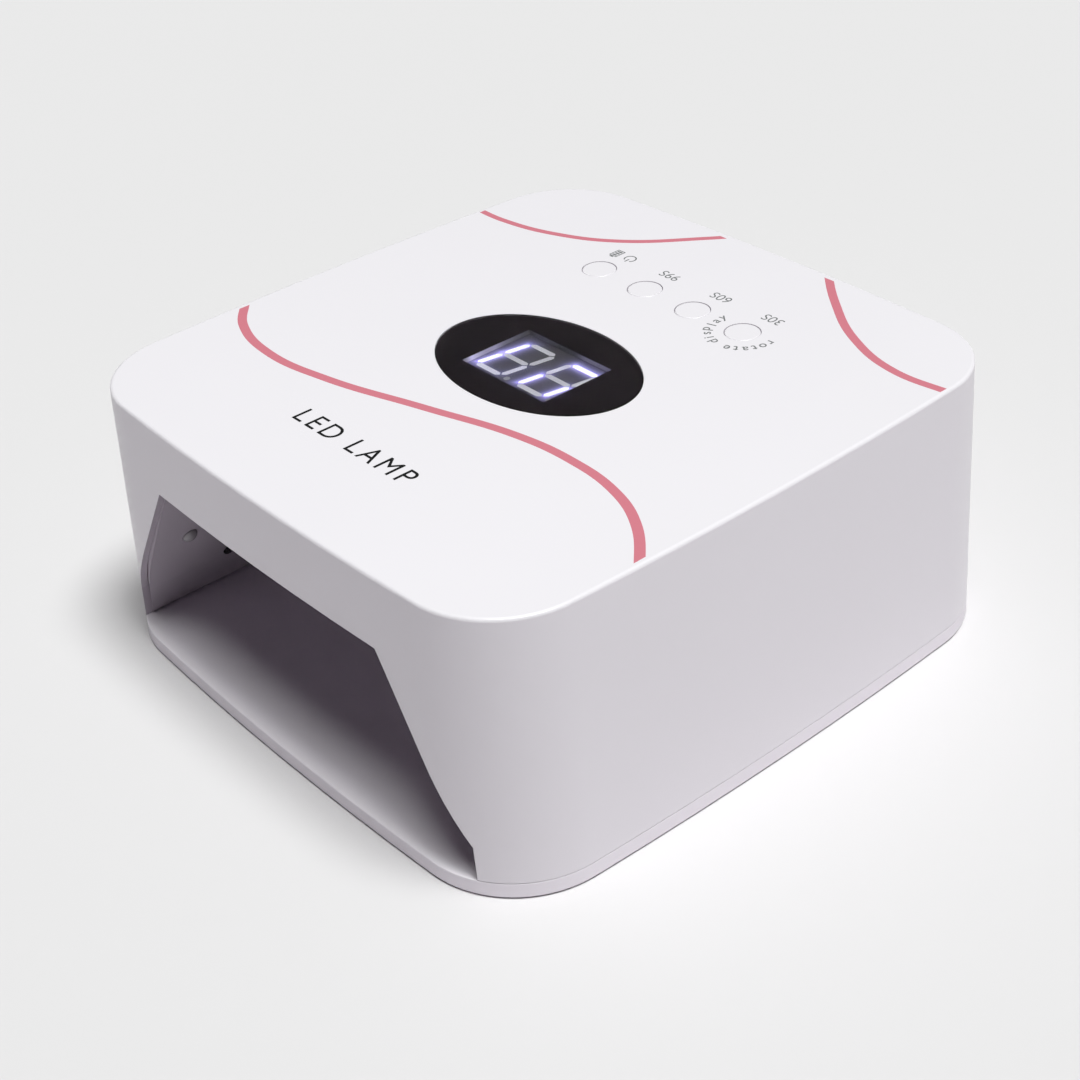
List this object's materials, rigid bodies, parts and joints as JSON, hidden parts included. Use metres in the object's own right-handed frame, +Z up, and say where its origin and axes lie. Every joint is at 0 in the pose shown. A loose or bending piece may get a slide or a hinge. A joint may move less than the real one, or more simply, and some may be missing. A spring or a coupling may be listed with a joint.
{
  "type": "led nail lamp",
  "caption": "Cordless LED nail-curing lamp: boxy shell with a hand chamber open at the front, oval display window, flush push buttons and a lift-off base tray.",
  "frame": {"origin": "middle of the footprint, on the surface the feet stand on", "axes": "+X to the right seen from the front, -Y the side the hand chamber opens on, +Z up"},
  "size_m": [0.201, 0.207, 0.0873],
  "materials": {
    "white_shell": "moulded, satin gloss",
    "white_tray": "moulded, satin",
    "white_liner": "moulded, smooth",
    "white_button": "moulded, satin gloss",
    "grey_rubber": "matte",
    "magnet_nickel": "nickel plated",
    "zinc_steel": "zinc plated",
    "clear_acrylic": "polished acrylic",
    "black_print": "screen-printed film",
    "display_grey": "moulded, matte",
    "segment_milky": "translucent resin",
    "board_green": "solder mask",
    "board_white": "white solder mask",
    "bead_clear": "clear resin over a small die",
    "sensor_black": "dark infrared filter",
    "chip_black": "moulded epoxy",
    "component_grey": "ferrite and epoxy",
    "connector_white": "nylon",
    "switch_black": "moulded",
    "pin_brass": "tinned",
    "cell_wrap": "shrink wrap over a steel can",
    "cradle_black": "moulded",
    "foam_grey": "closed-cell foam",
    "lead_red": "insulated wire",
    "lead_black": "insulated wire",
    "lead_white": "insulated wire"
  },
  "bodies": {
    "base": {"base_tray": "white_tray", "rubber_feet": "grey_rubber", "base_magnets": "magnet_nickel"},
    "lamp": {"outer_shell": "white_shell", "window_lens": "clear_acrylic", "window_mask": "black_print", "chamber_liner": "white_liner", "keeper_discs": "zinc_steel", "liner_screws": "zinc_steel", "display_module": "display_grey", "left_digit_segments": "segment_milky", "right_digit_segments": "segment_milky", "display_pins": "pin_brass", "control_board": "board_green", "board_screws": "zinc_steel", "controller_chip": "chip_black", "board_components": "component_grey", "board_connectors": "connector_white", "header_pins": "pin_brass", "switch_bodies": "switch_black", "led_board_screws": "zinc_steel", "battery_contacts": "magnet_nickel", "battery_foam_pads": "foam_grey", "power_inlet": "switch_black", "inlet_pin": "pin_brass", "battery_leads_positive": "lead_red", "battery_leads_negative": "lead_black", "led_leads": "lead_white", "inlet_leads": "lead_black", "led_board_left": "board_white", "led_beads_left": "bead_clear", "led_board_right": "board_white", "led_beads_right": "bead_clear", "led_board_ceiling": "board_white", "led_beads_ceiling": "bead_clear", "led_board_rear": "board_white", "led_beads_rear": "bead_clear", "hand_sensor_left": "sensor_black", "battery_cells_left": "cell_wrap", "battery_cradle_left": "cradle_black", "hand_sensor_right": "sensor_black", "battery_cells_right": "cell_wrap", "battery_cradle_right": "cradle_black"},
    "button_power": {"button_cap_power": "white_button", "switch_plunger_power": "switch_black"},
    "button_99s": {"button_cap_99s": "white_button", "switch_plunger_99s": "switch_black"},
    "button_60s": {"button_cap_60s": "white_button", "switch_plunger_60s": "switch_black"},
    "button_30s": {"button_cap_30s": "white_button", "switch_plunger_30s": "switch_black"}
  },
  "joints": [
    {"name": "lamp_lift", "type": "slide", "parent": "base", "child": "lamp", "axis": [0, 0, 1], "range_m": [0, 0.1]},
    {"name": "press_power", "type": "slide", "parent": "lamp", "child": "button_power", "axis": [0, 0, -1], "range_m": [0, 0.0006], "stiffness_N_per_m": 500, "springref_m": -0.003},
    {"name": "press_99s", "type": "slide", "parent": "lamp", "child": "button_99s", "axis": [0, 0, -1], "range_m": [0, 0.0006], "stiffness_N_per_m": 500, "springref_m": -0.003},
    {"name": "press_60s", "type": "slide", "parent": "lamp", "child": "button_60s", "axis": [0, 0, -1], "range_m": [0, 0.0006], "stiffness_N_per_m": 500, "springref_m": -0.003},
    {"name": "press_30s", "type": "slide", "parent": "lamp", "child": "button_30s", "axis": [0, 0, -1], "range_m": [0, 0.0006], "stiffness_N_per_m": 500, "springref_m": -0.003}
  ]
}
